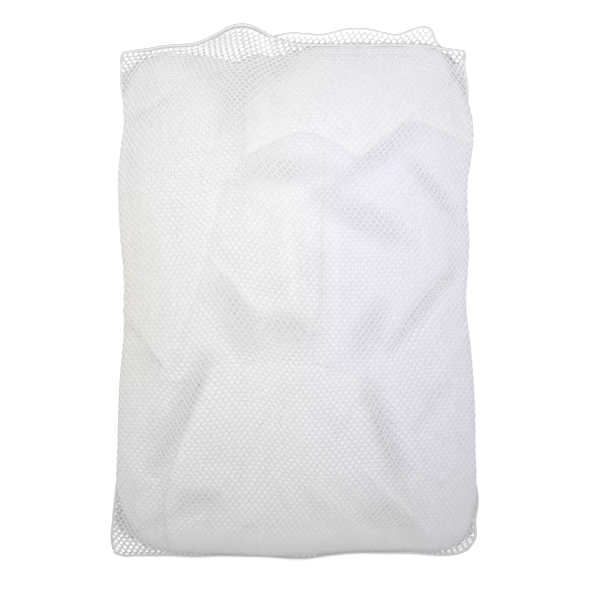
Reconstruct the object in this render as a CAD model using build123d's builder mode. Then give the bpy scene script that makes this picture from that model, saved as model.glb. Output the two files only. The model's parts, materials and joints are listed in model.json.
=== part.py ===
from build123d import *

import os
from math import atan2, cos, pi, sin
from typing import NamedTuple

# A net laundry bag, filled with linens and lying flat on its back.
# X runs across the bag, +Y points from the sewn bottom towards the open mouth and +Z is up.
# The origin is under the middle of the bag, on the surface that it lies on. Lengths are in mm.

os.makedirs("parts", exist_ok=True)

# Driving dimensions -----------------------------------------------------------------------------
NET = 1.8  # thickness of a net panel, measured upwards
SEAM_WIDTH = 6.0  # rolled edge where both panels are overlocked together
SEAM_THICKNESS = 4.0
HEM_WIDTH = 6.0  # turned band round the mouth
HEM_THICKNESS = 3.2
THREAD_WIDTH = 3.0  # ribbon of stitches that lies on a seam or a hem
THREAD_THICKNESS = 0.6
GAP = 0.4  # clearance between pieces that lie against each other
LINEN_GAP = 2.2  # clearance between the linens and the net
FOLD_GAP = 1.0  # clearance between one linen and the next
TOP_LAYER = 46.0  # height where the upper linens lie on the base
BASE_LAYER = 24.0  # height where the two base linens meet
MOUTH_CORNER_LEFT = (-287.0, 390.0)  # ends of the line that the front lip folds about
MOUTH_CORNER_RIGHT = (286.0, 392.5)
LIP_AXIS_Z = 14.0  # height of that line above the floor
LIP_CLEARANCE = 2.0  # distance from that line to the net on each side of it
HEM_FLOOR_Z = 1.7  # height of the middle of the back hem, which lies on the floor

MOUTH_RUN = MOUTH_CORNER_RIGHT[0] - MOUTH_CORNER_LEFT[0]
MOUTH_RISE = MOUTH_CORNER_RIGHT[1] - MOUTH_CORNER_LEFT[1]
MOUTH_TILT = atan2(MOUTH_RISE, MOUTH_RUN)
MOUTH_Y = MOUTH_CORNER_LEFT[1] - MOUTH_CORNER_LEFT[0] * MOUTH_RISE / MOUTH_RUN


class Row(NamedTuple):
    """One cross-section of the filled bag."""

    y: float  # place along the bag
    left: float  # middle of the left side seam
    right: float  # middle of the right side seam
    seam: float  # height of the side seams
    crown: float  # highest point of the front panel
    floor: float  # lowest point of the back panel
    inset: float  # distance from the side seams to the linens


# From the sewn bottom to the mouth. The last row lies along the line that the front lip folds about.
ROWS = [
    Row(-432.6, -284.0, 270.0, 24.0, 31.0, 18.5, 0.0),
    Row(-425.0, -293.0, 286.0, 24.0, 46.0, 13.0, 34.0),
    Row(-405.0, -301.0, 299.0, 26.0, 66.0, 6.0, 20.0),
    Row(-370.0, -302.0, 302.0, 30.0, 87.0, 0.0, 13.0),
    Row(-320.0, -302.0, 302.0, 34.0, 102.0, 0.0, 12.0),
    Row(-230.0, -291.0, 298.0, 36.0, 112.0, 0.0, 12.0),
    Row(-100.0, -286.0, 292.0, 36.0, 115.0, 0.0, 12.0),
    Row(30.0, -280.0, 283.0, 36.0, 115.0, 0.0, 12.0),
    Row(130.0, -286.0, 288.0, 36.0, 110.0, 0.0, 12.0),
    Row(220.0, -290.0, 294.0, 34.0, 98.0, 0.0, 12.0),
    Row(300.0, -284.0, 290.0, 28.0, 76.0, 0.0, 12.0),
    Row(345.0, -285.0, 288.0, 22.0, 54.0, 0.0, 14.0),
    Row(372.0, -285.0, 286.0, 16.0, 30.0, 0.0, 24.0),
    Row(MOUTH_Y - LIP_CLEARANCE, -284.0, 283.0, 14.0, 15.4, 0.0, 38.0),
]

# The sewn bottom, from the left corner round to the right one: x, y, z of the seam's middle.
BOTTOM_SEAM = [
    (-299.0, -422.0, 22.0),
    (-294.0, -433.0, 22.0),
    (-284.0, -438.5, 22.0),
    (-240.0, -439.0, 22.5),
    (-120.0, -438.5, 23.5),
    (-10.0, -440.0, 24.0),
    (90.0, -436.5, 24.0),
    (180.0, -436.0, 23.5),
    (240.0, -438.0, 22.5),
    (276.0, -436.0, 22.0),
    (287.0, -428.0, 22.0),
    (295.0, -417.0, 22.0),
]

# The mouth's edges: x and y of each hem's free edge, then the height of its middle.
FRONT_HEM = [
    (-275.0, 399.0, LIP_AXIS_Z),
    (-238.0, 403.5, LIP_AXIS_Z),
    (-201.0, 409.0, LIP_AXIS_Z),
    (-170.0, 410.5, LIP_AXIS_Z),
    (-148.0, 418.0, LIP_AXIS_Z),
    (-127.0, 427.0, LIP_AXIS_Z),
    (-107.0, 440.0, LIP_AXIS_Z),
    (-90.0, 443.5, LIP_AXIS_Z),
    (-70.0, 441.0, LIP_AXIS_Z),
    (-53.0, 432.5, LIP_AXIS_Z),
    (-31.0, 421.0, LIP_AXIS_Z),
    (10.0, 411.5, LIP_AXIS_Z),
    (76.0, 408.5, LIP_AXIS_Z),
    (175.0, 408.5, LIP_AXIS_Z),
    (241.0, 405.0, LIP_AXIS_Z),
    (270.0, 401.2, LIP_AXIS_Z),
]
BACK_HEM = [
    (-276.0, 398.2, HEM_FLOOR_Z),
    (-255.0, 401.0, HEM_FLOOR_Z),
    (-221.0, 406.0, HEM_FLOOR_Z),
    (-155.0, 410.0, HEM_FLOOR_Z),
    (-89.0, 415.0, HEM_FLOOR_Z),
    (-31.0, 422.5, HEM_FLOOR_Z),
    (-7.0, 428.0, HEM_FLOOR_Z),
    (50.0, 426.0, HEM_FLOOR_Z),
    (88.0, 434.0, HEM_FLOOR_Z),
    (130.0, 433.5, HEM_FLOOR_Z),
    (172.0, 425.5, HEM_FLOOR_Z),
    (208.0, 436.0, HEM_FLOOR_Z),
    (228.0, 431.0, HEM_FLOOR_Z),
    (246.0, 407.5, HEM_FLOOR_Z),
    (262.0, 402.5, HEM_FLOOR_Z),
    (274.0, 400.6, HEM_FLOOR_Z),
]

# Plan outlines of the linens that lie on the base, each a list of corners. Neighbours share corners,
# and the outer corners lie well outside the heap.
EDGE_X = 320.0
MOUTH_END = 420.0
SEWN_END = -450.0
LEFT_EDGE = [(-88, 209), (-121, 127), (-159, -14), (-207, -141)]
TOP_EDGE = [(320, 330), (192, 275), (109, 218), (43, 251)]
LOWER_EDGE = [(-190, -100), (20, -100), (110, -180)]
LINEN_PLANS = {
    "linen_left": [(-EDGE_X, MOUTH_END), (-88, MOUTH_END), *LEFT_EDGE, (-EDGE_X, -141)],
    "linen_top": [(-88, MOUTH_END), (EDGE_X, MOUTH_END), *TOP_EDGE, (10, 259), LEFT_EDGE[0]],
    "linen_centre": [(10, 259), (30, 240), (20, 100), (20, -100), LOWER_EDGE[0], *reversed(LEFT_EDGE[:3])],
    "linen_right": [(30, 240), *reversed(TOP_EDGE), (EDGE_X, -310), (190, -310), LOWER_EDGE[2], LOWER_EDGE[1],
                    (20, 100)],
    "linen_lower": [(-EDGE_X, -141), LEFT_EDGE[3], *LOWER_EDGE, (150, -260), (120, SEWN_END),
                    (-EDGE_X, SEWN_END)],
    "linen_bottom_right": [LOWER_EDGE[2], (190, -310), (EDGE_X, -310), (EDGE_X, SEWN_END), (120, SEWN_END),
                           (150, -260)],
}

# How round the bag is across: 0 is flat and 1 is the crown.
CROWN_SHARPNESS = 2.4
CROWN_POWER = 0.6
PROFILE_POINTS = 12
RISE_OVER_SEAM = 2.2  # the back panel leaves the floor this many seam heights from the side seam


def crown_shape(t):
    """Height share of the rounded cross-section at t, from -1 at one side to 1 at the other."""
    return (1.0 - abs(t) ** CROWN_SHARPNESS) ** CROWN_POWER


def section_plane(row):
    """Upright plane across the bag at a row. The mouth's row is turned to lie along the fold line."""
    tilt = MOUTH_TILT if row is ROWS[-1] else 0.0
    return Plane(origin=(0, row.y, 0), x_dir=(cos(tilt), sin(tilt), 0), z_dir=(sin(tilt), -cos(tilt), 0))


def top_curve(left, right, low, high):
    """Points of a rounded top from one side to the other, closer together near the sides."""
    middle = (left + right) / 2
    half = (right - left) / 2
    shares = [-cos(pi * i / PROFILE_POINTS) for i in range(PROFILE_POINTS + 1)]
    return [(middle + half * t, low + (high - low) * crown_shape(t)) for t in shares]


def bottom_curve(left, right, high, low, rise):
    """Three stretches of an underside: down from the left side, level, and up to the right side."""
    steps = [0.0, 0.25, 0.5, 0.75, 1.0]
    drop = [(rise * s, low + (high - low) * (1 - s) ** 2) for s in steps]
    down = [(left + x, z) for x, z in drop]
    up = [(right - x, z) for x, z in reversed(drop)]
    return down, up


def front_section(row):
    """Thin rounded slice of the front panel at a row."""
    left = row.left + SEAM_WIDTH / 2 + GAP
    right = row.right - SEAM_WIDTH / 2 - GAP
    base = row.seam + GAP
    outer = top_curve(left, right, base, row.crown)
    inner = top_curve(left + NET, right - NET, base, row.crown - NET)
    with BuildSketch(section_plane(row)) as section:
        with BuildLine():
            Spline(*outer)
            Line(outer[-1], inner[-1])
            Spline(*inner)
            Line(inner[0], outer[0])
        make_face()
    return section.sketch


def back_section(row):
    """Thin slice of the back panel at a row: level on the floor and rising to the side seams."""
    left = row.left + SEAM_WIDTH / 2 + GAP
    right = row.right - SEAM_WIDTH / 2 - GAP
    top = row.seam - GAP
    rise = RISE_OVER_SEAM * row.seam
    lower_down, lower_up = bottom_curve(left, right, top - NET, row.floor - GAP, rise)
    upper_down, upper_up = bottom_curve(left, right, top, row.floor + NET, rise)
    with BuildSketch(section_plane(row)) as section:
        with BuildLine():
            Spline(*lower_down)
            Line(lower_down[-1], lower_up[0])
            Spline(*lower_up)
            Line(lower_up[-1], upper_up[-1])
            Spline(*upper_up)
            Line(upper_up[0], upper_down[-1])
            Spline(*upper_down)
            Line(upper_down[0], lower_down[0])
        make_face()
    return section.sketch


def linen_section(row):
    """Solid slice of the linens at a row, clear of the net all round."""
    left = row.left + row.inset
    right = row.right - row.inset
    high = row.crown - NET - LINEN_GAP
    low = row.floor + NET + LINEN_GAP / 2
    edge = min(row.seam, (high + low) / 2)
    rise = RISE_OVER_SEAM * row.seam
    top = top_curve(left, right, edge + GAP, high)
    down, up = bottom_curve(left, right, edge - GAP, low, rise)
    with BuildSketch(section_plane(row)) as section:
        with BuildLine():
            Spline(*top)
            Line(top[-1], up[-1])
            Spline(*up)
            Line(up[0], down[-1])
            Spline(*down)
            Line(down[0], top[0])
        make_face()
    return section.sketch


def side_strip(points, width, thickness):
    """Flat strip that runs along the bag through points (x, y, z)."""
    with BuildPart() as strip:
        for x, y, z in points:
            with BuildSketch(Plane.XZ.offset(-y)):
                with Locations((x, z)):
                    Rectangle(width, thickness)
        loft(ruled=True)
    return strip.part


def cross_strip(points, width, thickness):
    """Flat strip that runs across the bag through points (x, y, z)."""
    with BuildPart() as strip:
        for x, y, z in points:
            with BuildSketch(Plane.YZ.offset(x)):
                with Locations((y, z)):
                    Rectangle(width, thickness)
        loft(ruled=True)
    return strip.part


def fold_line_y(x):
    """Where the line that the front lip folds about crosses x."""
    return MOUTH_Y + x * MOUTH_RISE / MOUTH_RUN


def lip_plate(hem, thickness):
    """Net between the fold line and a hem's sewn edge."""
    with BuildPart() as plate:
        for x, y, z in hem:
            near = fold_line_y(x) + LIP_CLEARANCE
            far = y - HEM_WIDTH - GAP
            with BuildSketch(Plane.YZ.offset(x)):
                with Locations(((near + far) / 2, z)):
                    Rectangle(far - near, thickness)
        loft(ruled=True)
    return plate.part


def raised(points, height):
    """The same route, higher by height."""
    return [(x, y, z + height) for x, y, z in points]


def middle_of_hem(points):
    """A hem's route moved from its free edge to the middle of the band."""
    return [(x, y - HEM_WIDTH / 2, z) for x, y, z in points]


# Net panels -------------------------------------------------------------------------------------
with BuildPart() as front_panel:
    loft([front_section(row) for row in ROWS], ruled=True)

with BuildPart() as back_panel:
    loft([back_section(row) for row in ROWS], ruled=True)
    split(bisect_by=Plane.XY, keep=Keep.TOP)

# Side and bottom seams, with their stitching on top ---------------------------------------------
SIDE_ROWS = [row for row in ROWS if row.y > BOTTOM_SEAM[-1][1] + SEAM_WIDTH]
LEFT_SEAM = [(row.left, row.y, row.seam) for row in SIDE_ROWS[:-1]]
LEFT_SEAM = [(-300.0, -415.0, 23.0)] + LEFT_SEAM + [(-284.0, MOUTH_CORNER_LEFT[1], LIP_AXIS_Z)]
RIGHT_SEAM = [(row.right, row.y, row.seam) for row in SIDE_ROWS[:-1]]
RIGHT_SEAM = [(297.5, -412.0, 23.0)] + RIGHT_SEAM + [(283.0, MOUTH_CORNER_RIGHT[1], LIP_AXIS_Z)]
THREAD_RISE = SEAM_THICKNESS / 2 + THREAD_THICKNESS / 2 + GAP / 2

with BuildPart() as left_side_seam:
    add(side_strip(LEFT_SEAM, SEAM_WIDTH, SEAM_THICKNESS))

with BuildPart() as right_side_seam:
    add(side_strip(RIGHT_SEAM, SEAM_WIDTH, SEAM_THICKNESS))

with BuildPart() as bottom_seam:
    add(cross_strip(BOTTOM_SEAM, SEAM_WIDTH, SEAM_THICKNESS))

with BuildPart() as left_seam_thread:
    add(side_strip(raised(LEFT_SEAM, THREAD_RISE), THREAD_WIDTH, THREAD_THICKNESS))

with BuildPart() as right_seam_thread:
    add(side_strip(raised(RIGHT_SEAM, THREAD_RISE), THREAD_WIDTH, THREAD_THICKNESS))

with BuildPart() as bottom_seam_thread:
    add(cross_strip(raised(BOTTOM_SEAM, THREAD_RISE), THREAD_WIDTH, THREAD_THICKNESS))

# Mouth: two lips, their hems and the hems' stitching --------------------------------------------
FRONT_LINE = middle_of_hem(FRONT_HEM)
BACK_LINE = middle_of_hem(BACK_HEM)
HEM_THREAD_RISE = HEM_THICKNESS / 2 + THREAD_THICKNESS / 2 + GAP / 2

with BuildPart() as front_mouth_lip:
    add(lip_plate(FRONT_HEM[1:-1], NET))

with BuildPart() as back_mouth_lip:
    add(lip_plate(raised(BACK_HEM[1:-2], (NET - HEM_THICKNESS) / 2), NET))

with BuildPart() as front_mouth_hem:
    add(cross_strip(FRONT_LINE, HEM_WIDTH, HEM_THICKNESS))

with BuildPart() as back_mouth_hem:
    add(cross_strip(BACK_LINE, HEM_WIDTH, HEM_THICKNESS))

with BuildPart() as front_hem_thread:
    add(cross_strip(raised(FRONT_LINE, HEM_THREAD_RISE), THREAD_WIDTH, THREAD_THICKNESS))

with BuildPart() as back_hem_thread:
    add(cross_strip(raised(BACK_LINE, HEM_THREAD_RISE), THREAD_WIDTH, THREAD_THICKNESS))

# One short tack at each mouth corner, past the end of the side seam.
TACK = (7.0, 6.0, 6.0)
with BuildPart() as mouth_bartacks:
    for x, y in (MOUTH_CORNER_LEFT, MOUTH_CORNER_RIGHT):
        inward = 3.5 if x < 0 else -3.5
        with Locations((x + inward, y + GAP + TACK[1] / 2, LIP_AXIS_Z)):
            Box(*TACK)

# Linens: one soft heap of the bag's inner shape, parted into a base and the pieces on it ---------
with BuildPart() as linen_heap:
    loft([linen_section(row) for row in ROWS[1:]], ruled=True)

HEAP_TOP = 140.0  # above the heap's crown


def linen_on_base(plan_corners):
    """One linen of the top layer: the heap above the base, inside a plan outline."""
    with BuildPart() as linen:
        add(linen_heap.part)
        with BuildSketch(Plane.XY.offset(TOP_LAYER + FOLD_GAP / 2)):
            with BuildLine():
                Polyline(*plan_corners, close=True)
            make_face()
            offset(amount=-FOLD_GAP / 2, kind=Kind.INTERSECTION)
        extrude(amount=HEAP_TOP, mode=Mode.INTERSECT)
    return linen


with BuildPart() as linen_base_lower:
    add(linen_heap.part)
    split(bisect_by=Plane.XY.offset(BASE_LAYER - FOLD_GAP / 2), keep=Keep.BOTTOM)

with BuildPart() as linen_base_upper:
    add(linen_heap.part)
    split(bisect_by=Plane.XY.offset(BASE_LAYER + FOLD_GAP / 2), keep=Keep.TOP)
    split(bisect_by=Plane.XY.offset(TOP_LAYER - FOLD_GAP / 2), keep=Keep.BOTTOM)

# Label every piece and write it as its own STEP file ---------------------------------------------
PIECES = {
    "front_panel": front_panel,
    "back_panel": back_panel,
    "left_side_seam": left_side_seam,
    "right_side_seam": right_side_seam,
    "bottom_seam": bottom_seam,
    "left_seam_thread": left_seam_thread,
    "right_seam_thread": right_seam_thread,
    "bottom_seam_thread": bottom_seam_thread,
    "front_mouth_lip": front_mouth_lip,
    "back_mouth_lip": back_mouth_lip,
    "front_mouth_hem": front_mouth_hem,
    "back_mouth_hem": back_mouth_hem,
    "front_hem_thread": front_hem_thread,
    "back_hem_thread": back_hem_thread,
    "mouth_bartacks": mouth_bartacks,
    "linen_base_lower": linen_base_lower,
    "linen_base_upper": linen_base_upper,
}
for name, corners in LINEN_PLANS.items():
    PIECES[name] = linen_on_base(corners)

for name, piece in PIECES.items():
    piece.part.label = name
    export_step(piece.part, f"parts/{name}.step")
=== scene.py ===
import json
import math
from functools import lru_cache

import bpy
import numpy as np
from bpy.props import FloatProperty, FloatVectorProperty, PointerProperty
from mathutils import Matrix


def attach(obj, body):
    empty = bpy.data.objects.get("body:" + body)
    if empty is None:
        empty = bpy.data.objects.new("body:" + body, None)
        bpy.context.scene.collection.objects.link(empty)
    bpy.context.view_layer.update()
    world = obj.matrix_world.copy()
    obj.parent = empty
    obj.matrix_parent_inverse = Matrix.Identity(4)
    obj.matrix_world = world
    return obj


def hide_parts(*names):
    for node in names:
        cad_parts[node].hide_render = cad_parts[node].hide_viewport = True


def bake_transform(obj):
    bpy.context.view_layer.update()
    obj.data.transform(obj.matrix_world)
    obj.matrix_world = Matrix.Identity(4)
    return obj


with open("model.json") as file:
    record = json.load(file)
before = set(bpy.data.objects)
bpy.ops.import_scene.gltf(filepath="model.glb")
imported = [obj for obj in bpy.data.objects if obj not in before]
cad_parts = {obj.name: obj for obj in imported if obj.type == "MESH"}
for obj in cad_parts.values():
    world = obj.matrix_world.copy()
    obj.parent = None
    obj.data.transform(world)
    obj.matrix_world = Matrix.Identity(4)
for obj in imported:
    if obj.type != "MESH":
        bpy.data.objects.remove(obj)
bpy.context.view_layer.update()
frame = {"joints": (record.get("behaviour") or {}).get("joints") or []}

bl_info = {
    "name": "Mesh laundry bag",
    "version": (1, 0, 0),
    "blender": (4, 5, 0),
    "location": "View3D > Sidebar > Laundry bag",
    "description": "Builds a net laundry bag filled with linens, its hems, seams and stitching",
    "category": "Add Mesh",
}

# The bag lies on its back. X runs across it, +Y points to its open mouth and +Z is up, in metres.
# The lists of places below are in millimetres and are turned to metres by curve().
MM = 0.001
TINY = 1e-9
SIDE_BODY = "bag"
LIP_BODY = "front_lip"
LIP_HINGE = next(joint for joint in frame["joints"] if joint["child"] == LIP_BODY)
HINGE_POINT = np.array(LIP_HINGE["pos_m"])
HINGE_AXIS = np.array(LIP_HINGE["axis"])
HINGE_OUTWARD = np.array([-HINGE_AXIS[1], HINGE_AXIS[0], 0.0])

# Outer edges of the sewn bag, as seen from above.
LEFT_EDGE = [(-429, -301), (-410, -304), (-377, -301.5), (-344, -298.5), (-311, -297), (-278, -294),
             (-212, -291.5), (-146, -289), (-113, -286), (-80, -283), (-30, -281.5), (19, -281.5), (85, -287),
             (135, -290.5), (185, -292), (240, -287.5), (284, -282.5), (317, -286.5), (350, -289),
             (397, -287.5)]
RIGHT_EDGE = [(-427, 290), (-412, 300.5), (-377, 302), (-344, 306.5), (-311, 304), (-278, 301.5),
              (-212, 300.5), (-146, 298), (-80, 291.5), (-47, 287), (-14, 285.5), (30, 288), (85, 291),
              (135, 288), (185, 289), (218, 294), (251, 298), (284, 297), (317, 292), (350, 289),
              (378, 285), (400, 286)]
BOTTOM_EDGE = [(-301, -429), (-297, -434), (-288, -438), (-260, -438.7), (-202, -438.5), (-162, -440),
               (-122, -438.5), (-83, -439), (-43, -440), (-3, -443), (20, -443), (56, -438), (96, -434),
               (155, -434), (195, -434.5), (215, -436), (250, -438), (270, -436), (283, -431.5),
               (290, -427)]
FRONT_EDGE = [(-287.5, 397), (-271, 400.5), (-244, 404.2), (-220, 408.7), (-200, 410.8), (-179, 411.5),
              (-164, 413.3), (-148, 419), (-127, 428.5), (-107, 440), (-90, 443.8), (-72, 442.5), (-53, 434),
              (-39, 426), (-20, 418), (10, 412.5), (40, 411.5), (76, 411), (120, 411), (175, 411.5),
              (215, 410), (241, 406.5), (262, 403.4), (286, 400)]
BACK_EDGE = [(-287.5, 397), (-271, 400), (-244, 403), (-220, 407.5), (-200, 410), (-179, 411), (-164, 412.8),
             (-148, 418), (-127, 427), (-107, 438), (-90, 442), (-72, 440), (-53, 432), (-39, 426),
             (-20, 429.5), (-4, 431.6), (20, 430.5), (50, 429.5), (70, 434), (88, 438), (107, 438.5),
             (126, 437.5), (150, 432), (170, 429), (190, 434.5), (208, 440.5), (220, 440.5), (228, 436.5),
             (232, 426.5), (240, 412), (248, 405.6), (262, 404), (286, 400)]

# Heights above the floor: along the side seams, across the sewn bottom and along the mouth's edges.
SIDE_SEAM_HEIGHT = [(-429, 19), (-400, 25), (-350, 31), (-280, 35), (-150, 36), (100, 36), (220, 33),
                    (300, 27), (345, 21), (372, 17), (398, 14)]
BOTTOM_SEAM_HEIGHT = [(-301, 19), (-240, 22), (-120, 23.5), (0, 24), (120, 24), (240, 22.5), (290, 19)]
FRONT_EDGE_HEIGHT = [(-287.5, 14), (-255, 14.5), (-215, 15.5), (-170, 19), (-125, 25), (-90, 28), (-60, 23),
                     (-31, 16), (10, 15), (60, 16), (110, 15), (165, 16.5), (220, 15), (286, 14)]
BACK_EDGE_HEIGHT = [(-287.5, 12.5), (-255, 6), (-220, 3), (-100, 2.6), (-31, 3), (-7, 5), (25, 2.6), (50, 3),
                    (97, 8), (140, 4), (170, 2.6), (214, 9), (236, 6), (254, 7), (286, 12.5)]

# The heap of linens: its outline at the two ends, and its height against the distance from them.
HEAP_MOUTH_END = [(-300, 325), (-275, 362), (-262, 378), (-240, 388), (-215, 396), (-180, 394), (-139, 390),
                  (-110, 384), (-91, 381), (-75, 387), (-60, 392), (-31, 391), (-10, 396), (10, 401),
                  (40, 407), (76, 408.5), (150, 408.5), (222, 407.5), (238, 403), (253, 392), (264, 379),
                  (275, 362), (282, 345), (300, 305)]
HEAP_SEWN_END = [(-300, -325), (-292, -350), (-283, -377), (-272, -401), (-255, -418), (-228, -428),
                 (-200, -432), (-120, -434.5), (0, -438), (56, -434), (100, -430.5), (200, -430.5),
                 (241, -431), (264, -424), (281, -411), (292, -393), (300, -370)]
HEIGHT_FROM_MOUTH = [(0, 13), (6, 19), (16, 27), (30, 39), (60, 58), (105, 78), (185, 97), (275, 107),
                     (375, 111), (900, 111)]
HEIGHT_FROM_SEWN_END = [(0, 24), (8, 39), (22, 58), (55, 79), (105, 96), (195, 107), (300, 111), (900, 111)]
SEAM_INSET = 0.0025  # from the bag's edge to the middle of a seam
SWELL_INSET = 0.0070  # the same where the filled bag swells past its side seams
NET_SWELL = 0.0104  # how far it swells there, less further in
BACK_SWELL = 0.0085
LINEN_SWELL = 0.0082
SWELL_REACH = 0.005  # where the swelling is greatest, in from the seam
SEAM_TO_HEAP = 0.0010  # from the middle of a side seam to the heap where the bag swells
SLACK_TO_HEAP = 0.0030  # the same where it doesn't
SIDE_RISE = 0.007  # the heap's side stands this far above the seam where the bag swells
SHOULDER = 2.4  # how square the heap's cross-section is
SHOULDER_POWER = 0.6
ROUNDING = 0.002  # of the crown where its two heights meet
BACK_CLEARANCE = 0.0010  # of the back panel from the floor
BACK_SIDE_REACH = 2.3  # how far in the back panel rises to a side seam, in seam heights
BACK_END_REACH = 0.070
BACK_RISE = 0.024  # the back panel's height beside the sewn end, and how much more at the sides
BACK_SIDE_RISE = 0.012

# The linens: folded cloths above a base of layers.
LINEN_THICKNESS = 0.013
LINEN_EDGE = 0.012  # radius of a folded edge, seen from above
LINEN_LEAST = 0.002  # least thickness
FLOOR_CLEARANCE = 0.0012  # of the linens from the back panel
SEAM_CLEARANCE = 0.003  # their height above a side seam, kept over a ledge and then falling
SEAM_LEDGE = 0.010
SEAM_SLOPE = 0.6
BASE_LEAST_DEPTH = 0.017  # of the base below the top of the heap
BASE_EDGE = 0.006
BASE_WIDTH = 0.5  # first guess at a layer's plan, which is then moved to the heap's outline
BASE_LENGTH = 0.7
BASE_ROUNDS = 8
# Each base layer's heights, how far its sides and its mouth end are in, and its node.
BASE_LAYERS = {
    "linen_base_lower_1": (2.0, 12.5, 50, 14, "linen_base_lower"),
    "linen_base_lower_2": (12.5, 22.5, 27, 28, "linen_base_lower"),
    "linen_base_upper_1": (22.5, 32.0, 13, 42, "linen_base_upper"),
    "linen_base_upper_2": (32.0, 110.0, 20, 56, "linen_base_upper"),
}
PLAN_WIDTH = 0.58  # first guesses at a plan, which are then moved to the bag's edges
PLAN_LENGTH = 0.85
PLAN_ROUNDS = 10

# The net, seams and hems.
NET_COLUMNS = 151  # points of the draped grid across and along a panel
NET_ROWS = 231
DRAPE_ROUNDS = 900
NET_GAP = 0.0014  # from what the front panel rests on to its middle
PANEL_GAP = 0.0015  # between the two panels
LIP_CURL = 0.035  # width of the back lip that curls up to its hem
FLAT_WIDTH = 0.610
PANEL_LENGTH = 0.880
YARN_COVER = 0.5
HEM_INSET = 0.0034  # from the mouth's edge to where the net goes into its hem
HEM_WIDTH = 0.0040
HEM_HEIGHT = 0.0013
HEM_POINTS = 0.0011  # spacing of the points along a hem
HEM_ENDS = (-0.2855, 0.2840)
RIM_RADIUS = 0.0008  # of the hem's folded edge
STITCH_INSET = 0.0016  # from the hem's middle to its stitches
STITCH_WIDTH = 0.0009
STITCH_HEIGHT = 0.0008
SEAM_WIDTH = 0.0044
SEAM_HEIGHT_ACROSS = 0.0030
SEAM_POINTS = 0.0012  # spacing of the points along a seam
SEAM_START = -0.4275  # where the side seams begin, and where the left and the right one end
SEAM_ENDS = (0.393, 0.397)
BOTTOM_SEAM_ENDS = (-0.2985, 0.2885)
OVERLOCK_SLACK = 0.0003  # how much wider the overlock is than its seam
BARTACK_SLACK = 0.0012

# Soft folds in the linens: x, y of both ends, then height, half width and sharpness (1 sharp, 2 round).
FOLDS = [
    (-274, 279, -178, 337, -3.5, 8, 1.1),
    (-255, 250, -150, 300, 2.0, 16, 2.0),
    (207, 269, 50, 158, -7.0, 18, 1.6),
    (190, 220, 270, 118, -8.5, 17, 1.6),
    (274, 48, 158, -92, -8.5, 15, 1.6),
    (-130, 52, -56, -30, 4.5, 9, 1.4),
    (-114, -6, -72, -88, -13.5, 22, 1.8),
    (-40, -58, 20, -72, -11.5, 22, 1.8),
    (140, -30, 110, -96, -9.0, 22, 1.8),
    (69, 114, 66, -90, 3.0, 11, 1.6),
    (-12, 120, 2, -20, 3.5, 14, 1.8),
    (-64, 198, 62, 200, -10.0, 18, 1.8),
    (107, -280, 235, -407, 5.5, 11, 1.4),
    (-268, -402, -127, -331, -5.8, 12, 1.4),
    (-146, -116, -232, -290, -12.5, 16, 1.7),
    (-228, -190, -245, -270, -5.8, 20, 1.8),
    (124, -160, 172, -292, -11.5, 17, 1.7),
    (-195, -338, -120, -352, -7.0, 18, 1.7),
    (130, -360, 210, -410, -9.5, 22, 1.8),
    (-66, 386, -20, 380, -4.0, 10, 1.7),
    (230, 340, 150, 250, 3.0, 18, 1.8),
    (245, 60, 225, -60, 2.5, 16, 1.8),
    (-240, 180, -200, 20, 2.5, 22, 1.8),
    (-60, -200, 60, -260, 2.5, 40, 2.0),
    (-180, -230, -60, -300, -2.5, 30, 2.0),
    (20, -330, 90, -400, -3.0, 18, 1.5),
    (250, -150, 200, -230, -4.0, 14, 1.4),
    (280, -60, 230, -150, 3.0, 14, 1.6),
    (-75, 372, -22, 380, -6.0, 9, 1.5),
    (262, 372, 276, 344, -5.0, 6, 1.5),
    (48, 152, 182, 86, -11.5, 24, 1.8),
]
# Lines that the net is drawn in to, where it bunches: x, y of both ends, then how far and from what width.
GATHERS = [
    (-147, -121, -230, -280, 4.6, 15),
    (127, -172, 165, -280, 4.0, 12),
    (197, 279, 38, 152, 2.6, 14),
    (203, 209, 266, 127, 3.4, 11),
    (266, 38, 165, -83, 3.4, 11),
    (-270, 290, -262, 120, 4.0, 14),
    (-262, -300, -275, -410, 5.0, 14),
    (-60, 330, -130, 180, 3.0, 12),
    (60, -300, 150, -400, 3.0, 16),
]
FOLD_TAPER = 0.55
WRINKLE_SHARPNESS = 1.5
WRINKLES = 240  # small creases strewn over the linens
WRINKLE_SEED = 11


def through(place, values, at):
    """Smooth curve through values (n by k) at places (n), read at `at`.

    Each stretch is a cubic whose end slopes are the mean slopes of its neighbours."""
    slope = np.gradient(values, place, axis=0)
    at = np.clip(at, place[0], place[-1])
    i = np.clip(np.searchsorted(place, at, side="right") - 1, 0, len(place) - 2)
    step = (place[i + 1] - place[i])[..., None]
    t = (at - place[i])[..., None] / step
    risen = (2 * t + 1) * (1 - t) ** 2 * values[i] + t * t * (3 - 2 * t) * values[i + 1]
    return risen + t * (1 - t) ** 2 * step * slope[i] - t * t * (1 - t) * step * slope[i + 1]


def curve(points, at):
    """Smooth curve through points (place, value) in millimetres, read at places in metres, in metres."""
    table = np.array(points, float) * MM
    return through(table[:, 0], table[:, 1:], np.asarray(at, float))[..., 0]


def soft_min(a, b, width):
    """The lesser of a and b, rounded where they are within about width of each other."""
    return -width * np.log(np.exp(-a / width) + np.exp(-b / width))


def soft_step(t):
    """0 up to t = 0 and 1 from t = 1, with a cubic between."""
    t = np.clip(t, 0, 1)
    return t * t * (3 - 2 * t)


# The bag's form -----------------------------------------------------------------------------------

def seam_height(y):
    """Height of the side seams at y."""
    return curve(SIDE_SEAM_HEIGHT, y)


def swelling(y):
    """1 along the filled sides, and 0 near the mouth and the sewn corners."""
    return soft_step((y + 0.36) / 0.08) * soft_step((0.345 - y) / 0.05)


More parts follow.
